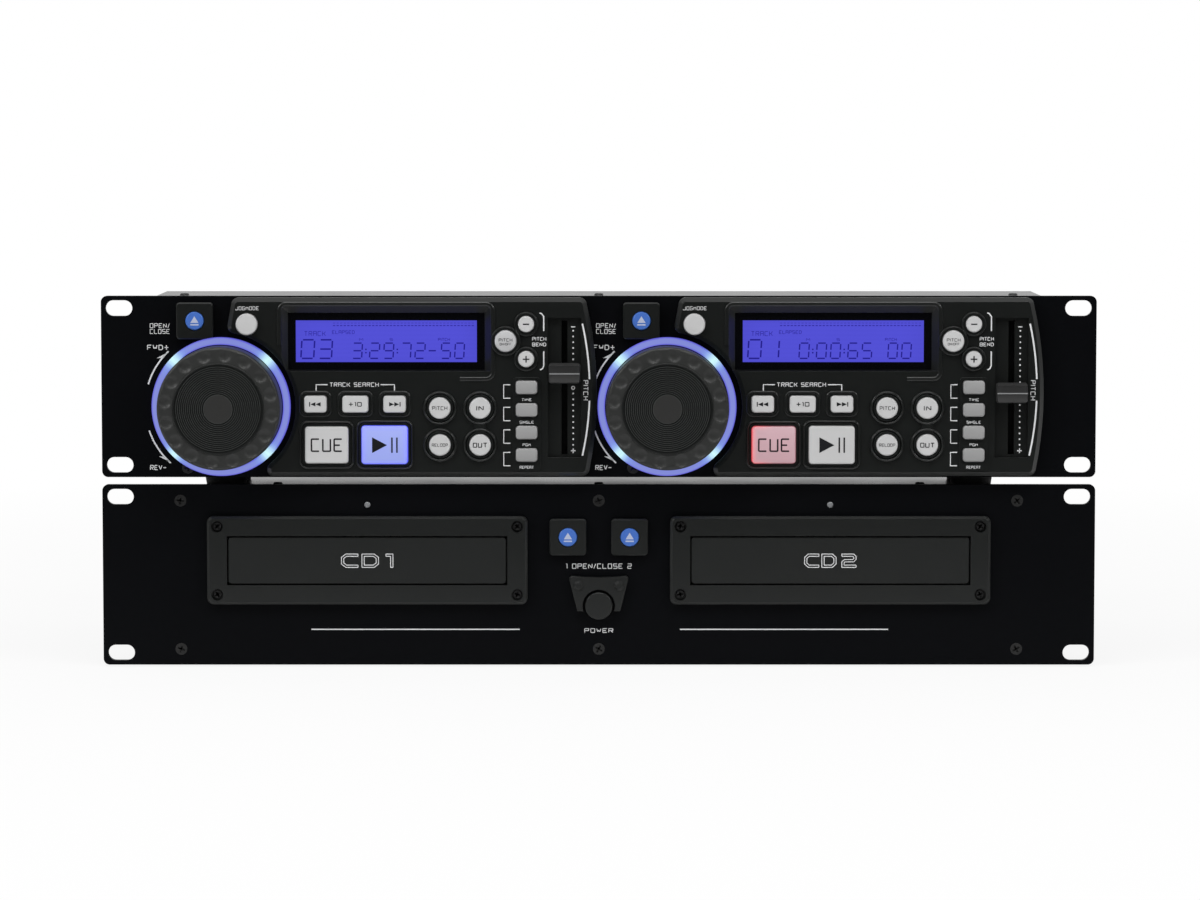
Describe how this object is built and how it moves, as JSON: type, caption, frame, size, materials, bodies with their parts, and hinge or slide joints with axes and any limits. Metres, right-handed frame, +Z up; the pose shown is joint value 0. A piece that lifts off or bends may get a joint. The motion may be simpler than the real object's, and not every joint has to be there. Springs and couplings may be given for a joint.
{
  "type": "twin-deck rack CD player",
  "caption": "Rack CD player for mixing: a control unit with two jog-wheel decks standing on a drive unit with two disc trays, both with slotted rack panels.",
  "frame": {"origin": "on the feet, under the middle of the whole stack", "axes": "+X right along the panels, -Y out of the front, +Z up"},
  "size_m": [0.4826, 0.2784, 0.1812],
  "materials": {
    "panel_black": "satin powder coat",
    "case_black": "satin powder coat",
    "moulding_charcoal": "fine-grained moulding",
    "loader_black": "plain moulding",
    "board_green": "solder mask",
    "socket_black": "gloss moulding",
    "screw_black": "black-plated steel",
    "foot_rubber": "matt rubber",
    "lens_violet": "clear lit moulding",
    "window_smoke": "polished clear sheet",
    "tray_black": "fine-grained moulding",
    "button_blue": "polished moulding",
    "power_black": "polished moulding",
    "wheel_black": "soft-touch moulding",
    "fader_black": "fine-grained moulding",
    "key_grey": "silk-finish moulding"
  },
  "bodies": {
    "rack_stack": {"drive_front_panel": "panel_black", "drive_chassis": "case_black", "top_covers": "case_black", "panel_bezels": "moulding_charcoal", "disc_mechanisms": "loader_black", "circuit_boards": "board_green", "rear_sockets": "socket_black", "mains_inlet": "socket_black", "screws": "screw_black", "feet": "foot_rubber", "control_front_panel": "panel_black", "control_chassis": "case_black", "deck_fascias": "moulding_charcoal", "lit_lenses": "lens_violet", "display_windows": "window_smoke"},
    "disc_tray_1_body": {"disc_tray_1": "tray_black"},
    "disc_tray_2_body": {"disc_tray_2": "tray_black"},
    "eject_button_1_body": {"eject_button_1": "button_blue"},
    "eject_button_2_body": {"eject_button_2": "button_blue"},
    "power_button_body": {"power_button": "power_black"},
    "jog_wheel_1_body": {"jog_wheel_1": "wheel_black"},
    "pitch_fader_1_body": {"pitch_fader_1": "fader_black"},
    "jog_mode_1_body": {"jog_mode_1": "key_grey"},
    "track_back_1_body": {"track_back_1": "key_grey"},
    "plus_ten_1_body": {"plus_ten_1": "key_grey"},
    "track_forward_1_body": {"track_forward_1": "key_grey"},
    "cue_1_body": {"cue_1": "key_grey"},
    "play_1_body": {"play_1": "key_grey"},
    "pitch_1_body": {"pitch_1": "key_grey"},
    "reloop_1_body": {"reloop_1": "key_grey"},
    "loop_in_1_body": {"loop_in_1": "key_grey"},
    "loop_out_1_body": {"loop_out_1": "key_grey"},
    "pitch_on_1_body": {"pitch_on_1": "key_grey"},
    "bend_minus_1_body": {"bend_minus_1": "key_grey"},
    "bend_plus_1_body": {"bend_plus_1": "key_grey"},
    "time_1_body": {"time_1": "key_grey"},
    "single_1_body": {"single_1": "key_grey"},
    "program_1_body": {"program_1": "key_grey"},
    "repeat_1_body": {"repeat_1": "key_grey"},
    "open_close_1_body": {"open_close_1": "button_blue"},
    "jog_wheel_2_body": {"jog_wheel_2": "wheel_black"},
    "pitch_fader_2_body": {"pitch_fader_2": "fader_black"},
    "jog_mode_2_body": {"jog_mode_2": "key_grey"},
    "track_back_2_body": {"track_back_2": "key_grey"},
    "plus_ten_2_body": {"plus_ten_2": "key_grey"},
    "track_forward_2_body": {"track_forward_2": "key_grey"},
    "cue_2_body": {"cue_2": "key_grey"},
    "play_2_body": {"play_2": "key_grey"},
    "pitch_2_body": {"pitch_2": "key_grey"},
    "reloop_2_body": {"reloop_2": "key_grey"},
    "loop_in_2_body": {"loop_in_2": "key_grey"},
    "loop_out_2_body": {"loop_out_2": "key_grey"},
    "pitch_on_2_body": {"pitch_on_2": "key_grey"},
    "bend_minus_2_body": {"bend_minus_2": "key_grey"},
    "bend_plus_2_body": {"bend_plus_2": "key_grey"},
    "time_2_body": {"time_2": "key_grey"},
    "single_2_body": {"single_2": "key_grey"},
    "program_2_body": {"program_2": "key_grey"},
    "repeat_2_body": {"repeat_2": "key_grey"},
    "open_close_2_body": {"open_close_2": "button_blue"}
  },
  "joints": [
    {"name": "tray_slide_1", "type": "slide", "parent": "rack_stack", "child": "disc_tray_1_body", "axis": [0, -1, 0], "range_m": [0, 0.13]},
    {"name": "tray_slide_2", "type": "slide", "parent": "rack_stack", "child": "disc_tray_2_body", "axis": [0, -1, 0], "range_m": [0, 0.13]},
    {"name": "eject_button_1_press", "type": "slide", "parent": "rack_stack", "child": "eject_button_1_body", "axis": [0, 1, 0], "range_m": [0, 0.0015], "stiffness_N_per_m": 60},
    {"name": "eject_button_2_press", "type": "slide", "parent": "rack_stack", "child": "eject_button_2_body", "axis": [0, 1, 0], "range_m": [0, 0.0015], "stiffness_N_per_m": 60},
    {"name": "power_button_press", "type": "slide", "parent": "rack_stack", "child": "power_button_body", "axis": [0, 1, 0], "range_m": [0, 0.0015], "stiffness_N_per_m": 60},
    {"name": "jog_turn_1", "type": "hinge", "parent": "rack_stack", "child": "jog_wheel_1_body", "pos_m": [-0.1832, -0.11925, 0.1269], "axis": [0, -1, 0], "continuous": true},
    {"name": "fader_slide_1", "type": "slide", "parent": "rack_stack", "child": "pitch_fader_1_body", "axis": [0, 0, 1], "range_m": [-0.0371, 0.0229]},
    {"name": "jog_mode_1_press", "type": "slide", "parent": "rack_stack", "child": "jog_mode_1_body", "axis": [0, 1, 0], "range_m": [0, 0.0015], "stiffness_N_per_m": 60},
    {"name": "track_back_1_press", "type": "slide", "parent": "rack_stack", "child": "track_back_1_body", "axis": [0, 1, 0], "range_m": [0, 0.0015], "stiffness_N_per_m": 60},
    {"name": "plus_ten_1_press", "type": "slide", "parent": "rack_stack", "child": "plus_ten_1_body", "axis": [0, 1, 0], "range_m": [0, 0.0015], "stiffness_N_per_m": 60},
    {"name": "track_forward_1_press", "type": "slide", "parent": "rack_stack", "child": "track_forward_1_body", "axis": [0, 1, 0], "range_m": [0, 0.0015], "stiffness_N_per_m": 60},
    {"name": "cue_1_press", "type": "slide", "parent": "rack_stack", "child": "cue_1_body", "axis": [0, 1, 0], "range_m": [0, 0.0015], "stiffness_N_per_m": 60},
    {"name": "play_1_press", "type": "slide", "parent": "rack_stack", "child": "play_1_body", "axis": [0, 1, 0], "range_m": [0, 0.0015], "stiffness_N_per_m": 60},
    {"name": "pitch_1_press", "type": "slide", "parent": "rack_stack", "child": "pitch_1_body", "axis": [0, 1, 0], "range_m": [0, 0.0015], "stiffness_N_per_m": 60},
    {"name": "reloop_1_press", "type": "slide", "parent": "rack_stack", "child": "reloop_1_body", "axis": [0, 1, 0], "range_m": [0, 0.0015], "stiffness_N_per_m": 60},
    {"name": "loop_in_1_press", "type": "slide", "parent": "rack_stack", "child": "loop_in_1_body", "axis": [0, 1, 0], "range_m": [0, 0.0015], "stiffness_N_per_m": 60},
    {"name": "loop_out_1_press", "type": "slide", "parent": "rack_stack", "child": "loop_out_1_body", "axis": [0, 1, 0], "range_m": [0, 0.0015], "stiffness_N_per_m": 60},
    {"name": "pitch_on_1_press", "type": "slide", "parent": "rack_stack", "child": "pitch_on_1_body", "axis": [0, 1, 0], "range_m": [0, 0.0015], "stiffness_N_per_m": 60},
    {"name": "bend_minus_1_press", "type": "slide", "parent": "rack_stack", "child": "bend_minus_1_body", "axis": [0, 1, 0], "range_m": [0, 0.0015], "stiffness_N_per_m": 60},
    {"name": "bend_plus_1_press", "type": "slide", "parent": "rack_stack", "child": "bend_plus_1_body", "axis": [0, 1, 0], "range_m": [0, 0.0015], "stiffness_N_per_m": 60},
    {"name": "time_1_press", "type": "slide", "parent": "rack_stack", "child": "time_1_body", "axis": [0, 1, 0], "range_m": [0, 0.0015], "stiffness_N_per_m": 60},
    {"name": "single_1_press", "type": "slide", "parent": "rack_stack", "child": "single_1_body", "axis": [0, 1, 0], "range_m": [0, 0.0015], "stiffness_N_per_m": 60},
    {"name": "program_1_press", "type": "slide", "parent": "rack_stack", "child": "program_1_body", "axis": [0, 1, 0], "range_m": [0, 0.0015], "stiffness_N_per_m": 60},
    {"name": "repeat_1_press", "type": "slide", "parent": "rack_stack", "child": "repeat_1_body", "axis": [0, 1, 0], "range_m": [0, 0.0015], "stiffness_N_per_m": 60},
    {"name": "open_close_1_press", "type": "slide", "parent": "rack_stack", "child": "open_close_1_body", "axis": [0, 1, 0], "range_m": [0, 0.0015], "stiffness_N_per_m": 60},
    {"name": "jog_turn_2", "type": "hinge", "parent": "rack_stack", "child": "jog_wheel_2_body", "pos_m": [0.0331, -0.11925, 0.1269], "axis": [0, -1, 0], "continuous": true},
    {"name": "fader_slide_2", "type": "slide", "parent": "rack_stack", "child": "pitch_fader_2_body", "axis": [0, 0, 1], "range_m": [-0.0276, 0.0324]},
    {"name": "jog_mode_2_press", "type": "slide", "parent": "rack_stack", "child": "jog_mode_2_body", "axis": [0, 1, 0], "range_m": [0, 0.0015], "stiffness_N_per_m": 60},
    {"name": "track_back_2_press", "type": "slide", "parent": "rack_stack", "child": "track_back_2_body", "axis": [0, 1, 0], "range_m": [0, 0.0015], "stiffness_N_per_m": 60},
    {"name": "plus_ten_2_press", "type": "slide", "parent": "rack_stack", "child": "plus_ten_2_body", "axis": [0, 1, 0], "range_m": [0, 0.0015], "stiffness_N_per_m": 60},
    {"name": "track_forward_2_press", "type": "slide", "parent": "rack_stack", "child": "track_forward_2_body", "axis": [0, 1, 0], "range_m": [0, 0.0015], "stiffness_N_per_m": 60},
    {"name": "cue_2_press", "type": "slide", "parent": "rack_stack", "child": "cue_2_body", "axis": [0, 1, 0], "range_m": [0, 0.0015], "stiffness_N_per_m": 60},
    {"name": "play_2_press", "type": "slide", "parent": "rack_stack", "child": "play_2_body", "axis": [0, 1, 0], "range_m": [0, 0.0015], "stiffness_N_per_m": 60},
    {"name": "pitch_2_press", "type": "slide", "parent": "rack_stack", "child": "pitch_2_body", "axis": [0, 1, 0], "range_m": [0, 0.0015], "stiffness_N_per_m": 60},
    {"name": "reloop_2_press", "type": "slide", "parent": "rack_stack", "child": "reloop_2_body", "axis": [0, 1, 0], "range_m": [0, 0.0015], "stiffness_N_per_m": 60},
    {"name": "loop_in_2_press", "type": "slide", "parent": "rack_stack", "child": "loop_in_2_body", "axis": [0, 1, 0], "range_m": [0, 0.0015], "stiffness_N_per_m": 60},
    {"name": "loop_out_2_press", "type": "slide", "parent": "rack_stack", "child": "loop_out_2_body", "axis": [0, 1, 0], "range_m": [0, 0.0015], "stiffness_N_per_m": 60},
    {"name": "pitch_on_2_press", "type": "slide", "parent": "rack_stack", "child": "pitch_on_2_body", "axis": [0, 1, 0], "range_m": [0, 0.0015], "stiffness_N_per_m": 60},
    {"name": "bend_minus_2_press", "type": "slide", "parent": "rack_stack", "child": "bend_minus_2_body", "axis": [0, 1, 0], "range_m": [0, 0.0015], "stiffness_N_per_m": 60},
    {"name": "bend_plus_2_press", "type": "slide", "parent": "rack_stack", "child": "bend_plus_2_body", "axis": [0, 1, 0], "range_m": [0, 0.0015], "stiffness_N_per_m": 60},
    {"name": "time_2_press", "type": "slide", "parent": "rack_stack", "child": "time_2_body", "axis": [0, 1, 0], "range_m": [0, 0.0015], "stiffness_N_per_m": 60},
    {"name": "single_2_press", "type": "slide", "parent": "rack_stack", "child": "single_2_body", "axis": [0, 1, 0], "range_m": [0, 0.0015], "stiffness_N_per_m": 60},
    {"name": "program_2_press", "type": "slide", "parent": "rack_stack", "child": "program_2_body", "axis": [0, 1, 0], "range_m": [0, 0.0015], "stiffness_N_per_m": 60},
    {"name": "repeat_2_press", "type": "slide", "parent": "rack_stack", "child": "repeat_2_body", "axis": [0, 1, 0], "range_m": [0, 0.0015], "stiffness_N_per_m": 60},
    {"name": "open_close_2_press", "type": "slide", "parent": "rack_stack", "child": "open_close_2_body", "axis": [0, 1, 0], "range_m": [0, 0.0015], "stiffness_N_per_m": 60}
  ]
}
